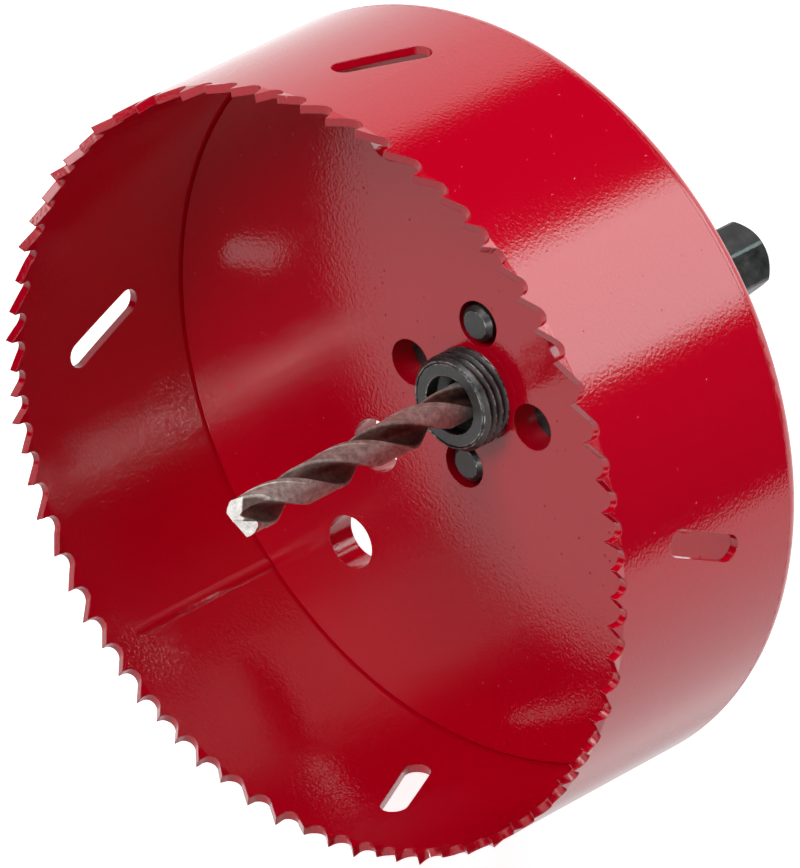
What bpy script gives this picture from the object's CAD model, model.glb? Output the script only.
from math import cos, pi, radians, sin

import bpy
from mathutils import Matrix, Vector


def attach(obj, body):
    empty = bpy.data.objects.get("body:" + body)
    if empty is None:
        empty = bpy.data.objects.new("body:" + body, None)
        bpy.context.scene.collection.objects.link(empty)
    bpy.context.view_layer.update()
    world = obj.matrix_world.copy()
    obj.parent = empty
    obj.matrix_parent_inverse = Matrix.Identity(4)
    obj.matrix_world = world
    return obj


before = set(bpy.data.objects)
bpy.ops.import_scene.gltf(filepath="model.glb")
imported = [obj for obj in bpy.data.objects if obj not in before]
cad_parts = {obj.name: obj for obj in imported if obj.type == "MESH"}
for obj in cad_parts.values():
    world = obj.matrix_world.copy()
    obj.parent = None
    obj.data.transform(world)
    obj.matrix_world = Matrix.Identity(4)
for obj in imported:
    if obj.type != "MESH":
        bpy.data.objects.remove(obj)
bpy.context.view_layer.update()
bpy.ops.object.select_all(action="DESELECT")

# ---------------------------------------------------------------- back plate
# A 5 mm turned steel disc, pressed into the wall and welded from behind, then sprayed with it in
# thick gloss enamel. It is drilled for the drive pins and for knocking slugs out.

MM = 0.001
LEAN = radians(42.883)                     # how far the spindle axis is tipped back from level
TURN = radians(270 - 255.2)                # spin about the axis that lays a shank flat down
AXIS_FOOT = Vector((0.0, -18.185, 74.394)) * MM    # where the axis meets the plane of the tooth tips
# spindle frame: origin at the tooth tips, +Z out of the mouth, depths are negative
SPINDLE = (Matrix.Translation(AXIS_FOOT) @ Matrix.Rotation(pi / 2 - LEAN, 4, "X")
           @ Matrix.Rotation(TURN, 4, "Z"))


def linear(hex_code):
    """An sRGB hex colour as the linear values that shaders take."""
    channels = [int(hex_code[i:i + 2], 16) / 255 for i in (1, 3, 5)]
    return tuple(c / 12.92 if c <= 0.04045 else ((c + 0.055) / 1.055) ** 2.4
                 for c in channels) + (1.0,)


def add(tree, kind, settings=None, **links):
    """Adds a node with its properties, inputs and ramp stops, and links its inputs to sockets.

    An input goes by its name or, as i0 or i7, by its number: on a Mix node i2 and i3 are the two
    plain numbers, and i6 and i7 the two colours.
    """
    node = tree.nodes.new(kind)
    for key, value in (settings or {}).items():
        if key == "stops":
            ramp = node.color_ramp.elements
            while len(ramp) < len(value):
                ramp.new(0.5)
            for element, (position, shade) in zip(ramp, value):
                element.position = position
                element.color = linear(shade)
        elif key in node.inputs:
            node.inputs[key].default_value = value
        elif key[0] == "i" and key[1:].isdigit():
            node.inputs[int(key[1:])].default_value = value
        else:
            setattr(node, key, value)
    for key, socket in links.items():
        into = int(key[1:]) if key[0] == "i" and key[1:].isdigit() else key.replace("_", " ")
        tree.links.new(socket, node.inputs[into])
    return node


def blank(name):
    """A new material with an empty tree, its output and its Object coordinates."""
    material = bpy.data.materials.new(name)
    material.use_nodes = True
    tree = material.node_tree
    tree.nodes.clear()
    out = tree.nodes.new("ShaderNodeOutputMaterial")
    place = tree.nodes.new("ShaderNodeTexCoord").outputs["Object"]
    return material, tree, out, place


def dress(node_name, material):
    """Gives a CAD node its finish."""
    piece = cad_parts[node_name]
    piece.data.materials.clear()
    piece.data.materials.append(material)


# Gloss enamel, sprayed thick over steel and baked: a saturated red under a wet-looking skin, so the
# colour is nearly pure and the room shows in it, its edges furred by an orange peel 0.5 mm across.
# Dust nibs 0.3 mm across stand some 5 mm apart, and the film rounds every edge. Inside the wall,
# where the spray bounces, the peel stands higher.
ENAMEL_RED = "#CE0023"
FILM_RADIUS = 0.30                         # mm
PEEL, PATCHES, DUST = 1900.0, 30.0, 420.0  # to the metre: every 0.5, 33 and 2.4 mm
NIB_HEART, NIB_EDGE = 0.03, 0.09           # where a nib's slope starts and ends, of 2.4 mm
INSIDE_R, OUTSIDE_R = 62.2, 62.8           # the peel changes within the thickness of the wall, mm
GRIT = 1.8                                 # how many times higher it stands inside


def enamel(name, roughness, peel_height, nib_height):
    """The enamel, with its roughness and the heights in mm of its orange peel and its dust nibs."""
    material, tree, out, place = blank(name)
    rounded = add(tree, "ShaderNodeBevel", {"samples": 2, "Radius": FILM_RADIUS * MM})

    peel = add(tree, "ShaderNodeTexNoise", {"Scale": PEEL, "Detail": 1.0, "Roughness": 0.5},
               Vector=place)
    patch = add(tree, "ShaderNodeTexNoise", {"Scale": PATCHES, "Detail": 1.0}, Vector=place)
    patchy = add(tree, "ShaderNodeMapRange",
                 {"From Min": 0.42, "From Max": 0.66, "To Min": 0.95, "To Max": 1.25},
                 Value=patch.outputs["Fac"])
    peeled = add(tree, "ShaderNodeMath", {"operation": "MULTIPLY"},
                 i0=peel.outputs["Fac"], i1=patchy.outputs[0])

    from_foot = add(tree, "ShaderNodeVectorMath", {"operation": "SUBTRACT", "i1": AXIS_FOOT},
                    i0=place)
    across = add(tree, "ShaderNodeVectorMath",
                 {"operation": "CROSS_PRODUCT", "i1": SPINDLE.col[2].xyz}, i0=from_foot.outputs[0])
    radius = add(tree, "ShaderNodeVectorMath", {"operation": "LENGTH"}, i0=across.outputs[0])
    grit = add(tree, "ShaderNodeMapRange",
               {"From Min": OUTSIDE_R * MM, "From Max": INSIDE_R * MM, "To Min": 1.0, "To Max": GRIT},
               Value=radius.outputs["Value"])
    peeled = add(tree, "ShaderNodeMath", {"operation": "MULTIPLY"},
                 i0=peeled.outputs[0], i1=grit.outputs[0])

    dust = add(tree, "ShaderNodeTexVoronoi", {"Scale": DUST, "Randomness": 1.0}, Vector=place)
    nibs = add(tree, "ShaderNodeMapRange",
               {"From Min": NIB_HEART, "From Max": NIB_EDGE, "To Min": 1.0, "To Max": 0.0},
               Value=dust.outputs["Distance"])
    skin = add(tree, "ShaderNodeBump", {"Strength": 1.0, "Distance": peel_height * MM},
               Height=peeled.outputs[0], Normal=rounded.outputs["Normal"])
    skin = add(tree, "ShaderNodeBump", {"Strength": 1.0, "Distance": nib_height * MM},
               Height=nibs.outputs[0], Normal=skin.outputs["Normal"])
    body = add(tree, "ShaderNodeBsdfPrincipled",
               {"Base Color": linear(ENAMEL_RED), "Roughness": roughness, "IOR": 1.5},
               Normal=skin.outputs["Normal"])
    tree.links.new(body.outputs["BSDF"], out.inputs["Surface"])
    return material


dress("back_plate", enamel("red_gloss_enamel_inside", 0.13, 0.018, 0.07))

# ------------------------------------------------------------------ saw wall
# Bi-metal strip, 1.4 mm thick, with set teeth of varying pitch and leaning slots; rolled to a ring,
# butt-welded (the bead is inside) and sprayed with the same enamel, which is glossier here.
dress("saw_wall", enamel("red_gloss_enamel", 0.10, 0.022, 0.03))

# --------------------------------------------------------------------- arbor
# Turned from one bar of alloy steel and blackened in oil: threaded nose, shoulder, hexagon shank.
# The drive plate, pins, nut and screw that go with it are blackened in the same way.

# The oxide is a thin dark skin, mottled every few millimetres, that rubs through to bright steel
# in specks about a millimetre across at edges and crests.
BARE_STEEL = "#C4C2BE"
OXIDE_TONES = [(0.34, "#232324"), (0.60, "#383A39"), (0.80, "#555653")]
EDGE_WEAR = 0.34                           # mm from an edge that rubbing reaches
MOTTLING, SPECKS = 420.0, 900.0            # to the metre: every 2.4 and 1.1 mm
PIT_DEPTH = 0.02                           # mm
black_oxide, tree, out, place = blank("blackened_oiled_steel")
grain = add(tree, "ShaderNodeTexNoise", {"Scale": MOTTLING, "Detail": 4.0, "Roughness": 0.65},
            Vector=place)
tone = add(tree, "ShaderNodeValToRGB", {"stops": OXIDE_TONES}, Fac=grain.outputs["Fac"])
worn_round = add(tree, "ShaderNodeBevel", {"samples": 4, "Radius": EDGE_WEAR * MM})
facing = tree.nodes.new("ShaderNodeNewGeometry").outputs["Normal"]
bend = add(tree, "ShaderNodeVectorMath", {"operation": "DOT_PRODUCT"},
           i0=worn_round.outputs["Normal"], i1=facing)
edge = add(tree, "ShaderNodeMapRange", {"From Min": 0.995, "From Max": 0.90},
           Value=bend.outputs["Value"])
rub = add(tree, "ShaderNodeTexNoise", {"Scale": SPECKS, "Detail": 3.0, "Roughness": 0.7},
          Vector=place)
rubbed = add(tree, "ShaderNodeMapRange", {"From Min": 0.44, "From Max": 0.56},
             Value=rub.outputs["Fac"])
bare = add(tree, "ShaderNodeMath", {"operation": "MULTIPLY"},
           i0=edge.outputs[0], i1=rubbed.outputs[0])
colour = add(tree, "ShaderNodeMix", {"data_type": "RGBA", "i7": linear(BARE_STEEL)},
             i0=bare.outputs[0], i6=tone.outputs["Color"])
gloss = add(tree, "ShaderNodeMapRange",
            {"From Min": 0.3, "From Max": 0.7, "To Min": 0.26, "To Max": 0.42},
            Value=grain.outputs["Fac"])
pits = add(tree, "ShaderNodeBump", {"Strength": 1.0, "Distance": PIT_DEPTH * MM},
           Height=grain.outputs["Fac"], Normal=worn_round.outputs["Normal"])
body = add(tree, "ShaderNodeBsdfPrincipled", Base_Color=colour.outputs[2],
           Roughness=gloss.outputs[0], Metallic=bare.outputs[0], Normal=pits.outputs["Normal"])
tree.links.new(body.outputs["BSDF"], out.inputs["Surface"])
for name in ("arbor", "drive_plate", "drive_pins", "lock_nut", "grub_screw"):
    dress(name, black_oxide)

# The nose's thread, 5/8 in by 18 to the inch, cut on the lathe: a ridge swept round the plain nose
# of the CAD arbor from its chamfered front to the plate, its front clipped by the same chamfer.
PITCH = 25.4 / 18
CREST_R, FOOT_R = 7.94, 7.05               # the foot is sunk in the nose
CREST_WIDTH, FOOT_WIDTH = 0.14, 0.90       # of the pitch
NOSE_FRONT, PLATE_FRONT = -33.2, -38.2     # heights in the spindle frame, mm
NOSE_LENGTH = NOSE_FRONT - PLATE_FRONT
CHAMFER_R = 7.25                           # at the front; it widens by 1 mm in each mm of depth
TURNS, STEPS = 5, 72
bpy.ops.mesh.primitive_plane_add(size=1.0, rotation=(pi / 2, 0, 0))
thread = bpy.context.object
thread.name = "nose_thread"
bpy.ops.object.transform_apply(location=True, rotation=True, scale=True)
for corner in thread.data.vertices:
    outer = corner.co.x > 0
    width = (CREST_WIDTH if outer else FOOT_WIDTH) * PITCH
    corner.co.z = (1 if corner.co.z > 0 else -1) * width / 2 * MM
    corner.co.x = (CREST_R if outer else FOOT_R) * MM
bpy.ops.object.mode_set(mode="EDIT")
bpy.ops.mesh.select_all(action="SELECT")
bpy.ops.transform.translate(value=(0, 0, (PLATE_FRONT - PITCH) * MM))
bpy.ops.mesh.delete(type="ONLY_FACE")
bpy.ops.object.mode_set(mode="OBJECT")
sweep = thread.modifiers.new("sweep", "SCREW")
sweep.angle = 2 * pi
sweep.iterations = TURNS
sweep.screw_offset = PITCH * MM
sweep.steps = sweep.render_steps = STEPS
sweep.use_merge_vertices = False
bpy.ops.object.modifier_apply(modifier="sweep")
# the two open ends of the ridge are closed
bpy.ops.object.mode_set(mode="EDIT")
bpy.ops.mesh.select_all(action="DESELECT")
bpy.ops.mesh.select_mode(type="EDGE")
bpy.ops.mesh.select_non_manifold()
bpy.ops.mesh.edge_face_add()
bpy.ops.mesh.select_all(action="SELECT")
bpy.ops.mesh.normals_make_consistent(inside=False)
bpy.ops.object.mode_set(mode="OBJECT")
bpy.ops.object.select_all(action="DESELECT")
bpy.ops.mesh.primitive_cone_add(vertices=2 * STEPS, radius1=(CHAMFER_R + NOSE_LENGTH) * MM,
                                radius2=CHAMFER_R * MM, depth=NOSE_LENGTH * MM,
                                location=(0, 0, (NOSE_FRONT + PLATE_FRONT) / 2 * MM))
chamfer = bpy.context.object
clip = thread.modifiers.new("clip", "BOOLEAN")
clip.operation = "INTERSECT"
clip.solver = "EXACT"
clip.object = chamfer
bpy.context.view_layer.objects.active = thread
bpy.ops.object.modifier_apply(modifier="clip")
bpy.data.objects.remove(chamfer)
bpy.ops.object.select_all(action="DESELECT")
thread.select_set(True)
thread.matrix_world = SPINDLE
bpy.ops.object.transform_apply(location=True, rotation=True, scale=True)
bpy.ops.object.shade_smooth_by_angle(angle=radians(30))
bpy.ops.object.select_all(action="DESELECT")
thread.data.materials.clear()
thread.data.materials.append(black_oxide)
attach(thread, "root")

# --------------------------------------------------------------- pilot drill
# A quarter-inch twist drill of high-speed steel, milled and ground to size. The grub screw holds it
# in the arbor and tips it a little in its bore.
DRILL_TIP, DRILL_PIVOT = 16.8, -51.0       # heights in the spindle frame, mm
DRILL_LEAN, DRILL_BEARING = radians(0.8), radians(307.4)
drill_axis = SPINDLE.to_3x3() @ Vector((sin(DRILL_LEAN) * cos(DRILL_BEARING),
                                        sin(DRILL_LEAN) * sin(DRILL_BEARING), cos(DRILL_LEAN)))
pivot = SPINDLE @ Vector((0, 0, DRILL_PIVOT * MM))
tip_from_pivot = (DRILL_TIP - DRILL_PIVOT) * MM

# High-speed steel, as heat treatment and grinding leave it: pale ground lands, flutes that keep
# their brown skin, and a bright point, split on a fine wheel. All of it is mottled about every
# millimetre.
LAND_TONES = [(0.35, "#A49B94"), (0.65, "#E0D9D2")]
FLUTE_TONES = [(0.35, "#452B27"), (0.70, "#73564E")]
POINT_TONES = [(0.30, "#B9B5B0"), (0.60, "#E6E3DE")]
LAND_R, FLUTE_R = 3.00, 2.60               # all land outside the one, all flute inside the other, mm
POINT_SLOPE = 0.601                        # how fast a 118 degree point falls back from its tip
POINT_DEPTH, POINT_END = 0.95, 1.15        # its brightness is full, and ends, this far under it, mm
DRILL_MOTTLING = 900.0                     # to the metre: every 1.1 mm
GRINDING = 0.004                           # mm
ground_steel, tree, out, place = blank("ground_high_speed_steel")
from_pivot = add(tree, "ShaderNodeVectorMath", {"operation": "SUBTRACT", "i1": pivot}, i0=place)
along = add(tree, "ShaderNodeVectorMath", {"operation": "DOT_PRODUCT", "i1": drill_axis},
            i0=from_pivot.outputs[0])
across = add(tree, "ShaderNodeVectorMath", {"operation": "CROSS_PRODUCT", "i1": drill_axis},
             i0=from_pivot.outputs[0])
radius = add(tree, "ShaderNodeVectorMath", {"operation": "LENGTH"}, i0=across.outputs[0])
skin = add(tree, "ShaderNodeMapRange", {"From Min": LAND_R * MM, "From Max": FLUTE_R * MM},
           Value=radius.outputs["Value"])
cone = add(tree, "ShaderNodeMath", {"operation": "MULTIPLY_ADD", "i1": POINT_SLOPE},
           i0=radius.outputs["Value"], i2=along.outputs["Value"])
point = add(tree, "ShaderNodeMapRange",
            {"From Min": tip_from_pivot - POINT_END * MM,
             "From Max": tip_from_pivot - POINT_DEPTH * MM}, Value=cone.outputs[0])
mottle = add(tree, "ShaderNodeTexNoise", {"Scale": DRILL_MOTTLING, "Detail": 4.0, "Roughness": 0.7},
             Vector=place)
land, flute, bright = [add(tree, "ShaderNodeValToRGB", {"stops": tones}, Fac=mottle.outputs["Fac"])
                       for tones in (LAND_TONES, FLUTE_TONES, POINT_TONES)]
shaft = add(tree, "ShaderNodeMix", {"data_type": "RGBA"}, i0=skin.outputs[0],
            i6=land.outputs[0], i7=flute.outputs[0])
colour = add(tree, "ShaderNodeMix", {"data_type": "RGBA"}, i0=point.outputs[0],
             i6=shaft.outputs[2], i7=bright.outputs[0])
polish = add(tree, "ShaderNodeMapRange", {"To Min": 0.36, "To Max": 0.24}, Value=point.outputs[0])
metal = add(tree, "ShaderNodeMapRange", {"To Min": 0.32, "To Max": 0.80}, Value=point.outputs[0])
ground = add(tree, "ShaderNodeBump", {"Strength": 1.0, "Distance": GRINDING * MM},
             Height=mottle.outputs["Fac"])
body = add(tree, "ShaderNodeBsdfPrincipled", Base_Color=colour.outputs[2],
           Metallic=metal.outputs[0], Roughness=polish.outputs[0], Normal=ground.outputs["Normal"])
tree.links.new(body.outputs["BSDF"], out.inputs["Surface"])
dress("pilot_drill", ground_steel)

# ------------------------------------------------------------ floor and room
# A pale seamless floor in a white room, with one soft box high before the mouth and a larger one
# behind the wall. Where the floor is looked at it is lifted towards white, and keeps its shadow.
FLOOR_WHITE = "#F4F4F4"
FLOOR_LIFT = 0.84
FLOOR_DROP = 0.2                           # mm below the saw, so that they never share a plane
bpy.ops.mesh.primitive_plane_add(size=6.0, location=(0, 0, -FLOOR_DROP * MM))
floor = bpy.context.object
floor.name = "floor"
floor_paint, tree, out, place = blank("matt_white_floor")
ray = tree.nodes.new("ShaderNodeLightPath")
looked_at = add(tree, "ShaderNodeMath", {"operation": "MAXIMUM"},
                i0=ray.outputs["Is Camera Ray"], i1=ray.outputs["Is Transmission Ray"])
lift = add(tree, "ShaderNodeMath", {"operation": "MULTIPLY", "i1": FLOOR_LIFT},
           i0=looked_at.outputs[0])
matt = add(tree, "ShaderNodeBsdfDiffuse", {"Color": linear(FLOOR_WHITE)})
white = add(tree, "ShaderNodeEmission", Strength=lift.outputs[0])
both = add(tree, "ShaderNodeAddShader", i0=matt.outputs[0], i1=white.outputs[0])
tree.links.new(both.outputs[0], out.inputs["Surface"])
floor.data.materials.append(floor_paint)
floor.visible_glossy = False               # reflections look past it, into the room

# The room as gloss sees it is white all round, with dark flags and one long soft strip of light,
# which stands behind the saw between the first two flags. Two more flags stand before the mouth,
# and a faint one behind, on the other side. Each is an arc round the spindle axis, with its middle,
# half width and soft edge in degrees, how far along the axis it sits (the cosine from +Z) and how
# much of the full dark or light it has.
ROOM_FILL = 0.175                          # what the room gives to paint
ROOM_IN_GLOSS = 1.3
BEHIND, BEFORE = -0.625, 0.66
BELT = 0.275                               # half the depth of a flag or the strip, as a cosine too
FLAGS = ((-1.5, 26.5, 1.5, BEHIND, 1.0),
         (92.0, 25.0, 4.0, BEHIND, 1.0),
         (31.0, 13.0, 5.0, BEFORE, 1.0),
         (153.0, 34.0, 5.0, BEFORE, 1.0),
         (-128.0, 21.0, 9.0, BEHIND, 0.35))
STRIP = (46.5, 21.0, 4.0, BEHIND, 1.0)
STRIP_POWER = 4.1
STRIP_COLOUR = "#CDFFFF"                   # cool, as a daylight tube is
world = bpy.data.worlds.new("studio")
bpy.context.scene.world = world
world.use_nodes = True
tree = world.node_tree
tree.nodes.clear()
out = tree.nodes.new("ShaderNodeOutputWorld")
ray = tree.nodes.new("ShaderNodeLightPath")
in_gloss = ray.outputs["Is Glossy Ray"]
direction = tree.nodes.new("ShaderNodeTexCoord").outputs["Generated"]
turned = add(tree, "ShaderNodeMapping", {"Rotation": (LEAN - pi / 2, 0, -TURN)}, Vector=direction)
axes = add(tree, "ShaderNodeSeparateXYZ", Vector=turned.outputs[0])
bearing = add(tree, "ShaderNodeMath", {"operation": "ARCTAN2"},
              i0=axes.outputs["Y"], i1=axes.outputs["X"])
shown = []
for middle, half, soft, belt, depth in FLAGS + (STRIP,):
    level_with = add(tree, "ShaderNodeMath", {"operation": "COMPARE", "i1": belt, "i2": BELT},
                     i0=axes.outputs["Z"])
    off = add(tree, "ShaderNodeMath", {"operation": "SUBTRACT", "i1": radians(middle)},
              i0=bearing.outputs[0])
    off = add(tree, "ShaderNodeMath", {"operation": "ABSOLUTE"}, i0=off.outputs[0])
    arc = add(tree, "ShaderNodeMapRange",
              {"interpolation_type": "SMOOTHSTEP", "From Min": radians(half + soft),
               "From Max": radians(half - soft), "To Max": depth}, Value=off.outputs[0])
    shown.append(add(tree, "ShaderNodeMath", {"operation": "MULTIPLY"},
                     i0=arc.outputs[0], i1=level_with.outputs[0]))
dark = shown[0]
for flag in shown[1:-1]:
    dark = add(tree, "ShaderNodeMath", {"operation": "MAXIMUM"},
               i0=dark.outputs[0], i1=flag.outputs[0])
white = add(tree, "ShaderNodeMapRange", {"To Min": ROOM_IN_GLOSS, "To Max": 0.0},
            Value=dark.outputs[0])
looked_at = add(tree, "ShaderNodeMath", {"operation": "MAXIMUM"},
                i0=ray.outputs["Is Camera Ray"], i1=ray.outputs["Is Transmission Ray"])
plain = add(tree, "ShaderNodeMapRange", {"To Min": ROOM_FILL, "To Max": 1.0},
            Value=looked_at.outputs[0])
level = add(tree, "ShaderNodeMix", {"data_type": "FLOAT"},
            i0=in_gloss, i2=plain.outputs[0], i3=white.outputs[0])
strip = add(tree, "ShaderNodeMath", {"operation": "MULTIPLY"},
            i0=shown[-1].outputs[0], i1=in_gloss)
strip = add(tree, "ShaderNodeMath", {"operation": "MULTIPLY", "i1": STRIP_POWER},
            i0=strip.outputs[0])
sky = add(tree, "ShaderNodeBackground", {"Color": (1, 1, 1, 1)}, Strength=level.outputs[0])
tube = add(tree, "ShaderNodeBackground", {"Color": linear(STRIP_COLOUR)},
           Strength=strip.outputs[0])
both = add(tree, "ShaderNodeAddShader", i0=sky.outputs[0], i1=tube.outputs[0])
tree.links.new(both.outputs[0], out.inputs["Surface"])

# name, direction in the spindle frame (z out of the mouth), side in metres, power in watts, and
# whether it lights paint or only shows as a glint
BOXES = (("mouth_box", (0.0, 0.65, 0.75), 0.6, 6.6, True),
         ("rear_box", (0.45, 0.75, -0.25), 0.8, 8.3, True),
         ("side_glint", (0.75, 0.05, 0.66), 0.10, 3.2, False))
BOX_CENTRE = Vector((0, 0, 50 * MM))
BOX_DISTANCE = 1.25                        # metres
for name, towards, side, power, lights_paint in BOXES:
    data = bpy.data.lights.new(name, "AREA")
    data.shape = "SQUARE"
    data.size = side
    data.energy = power
    lamp = bpy.data.objects.new(name, data)
    bpy.context.scene.collection.objects.link(lamp)
    away = (SPINDLE.to_3x3() @ Vector(towards)).normalized()
    lamp.location = BOX_CENTRE + away * BOX_DISTANCE
    lamp.rotation_euler = away.to_track_quat("Z", "Y").to_euler()
    lamp.visible_camera = False
    lamp.visible_diffuse = lights_paint

# -------------------------------------------------------------------- camera
# A long lens well above the bench, rolled with the saw. It stands about 1.8 m away, so the near and
# far edges of the wall are nearly the same size.
CAMERA_AT = Vector((0.80260, -0.14452, 1.60565))
CAMERA_RIGHT = Vector((0.718524, 0.619559, -0.316020))
CAMERA_UP = Vector((-0.522473, 0.780744, 0.342725))
SENSOR, LENS = 36.0, 509.265               # mm
FAR_CLIP = 20.0                            # metres
data = bpy.data.cameras.new("camera")
data.sensor_fit = "HORIZONTAL"
data.sensor_width = SENSOR
data.lens = LENS
data.clip_end = FAR_CLIP
camera = bpy.data.objects.new("camera", data)
bpy.context.scene.collection.objects.link(camera)
facing = CAMERA_RIGHT.cross(CAMERA_UP)
camera.matrix_world = (Matrix.Translation(CAMERA_AT)
                       @ Matrix((CAMERA_RIGHT, CAMERA_UP, facing)).transposed().to_4x4())
bpy.context.scene.camera = camera
bpy.context.scene.view_settings.view_transform = "Standard"
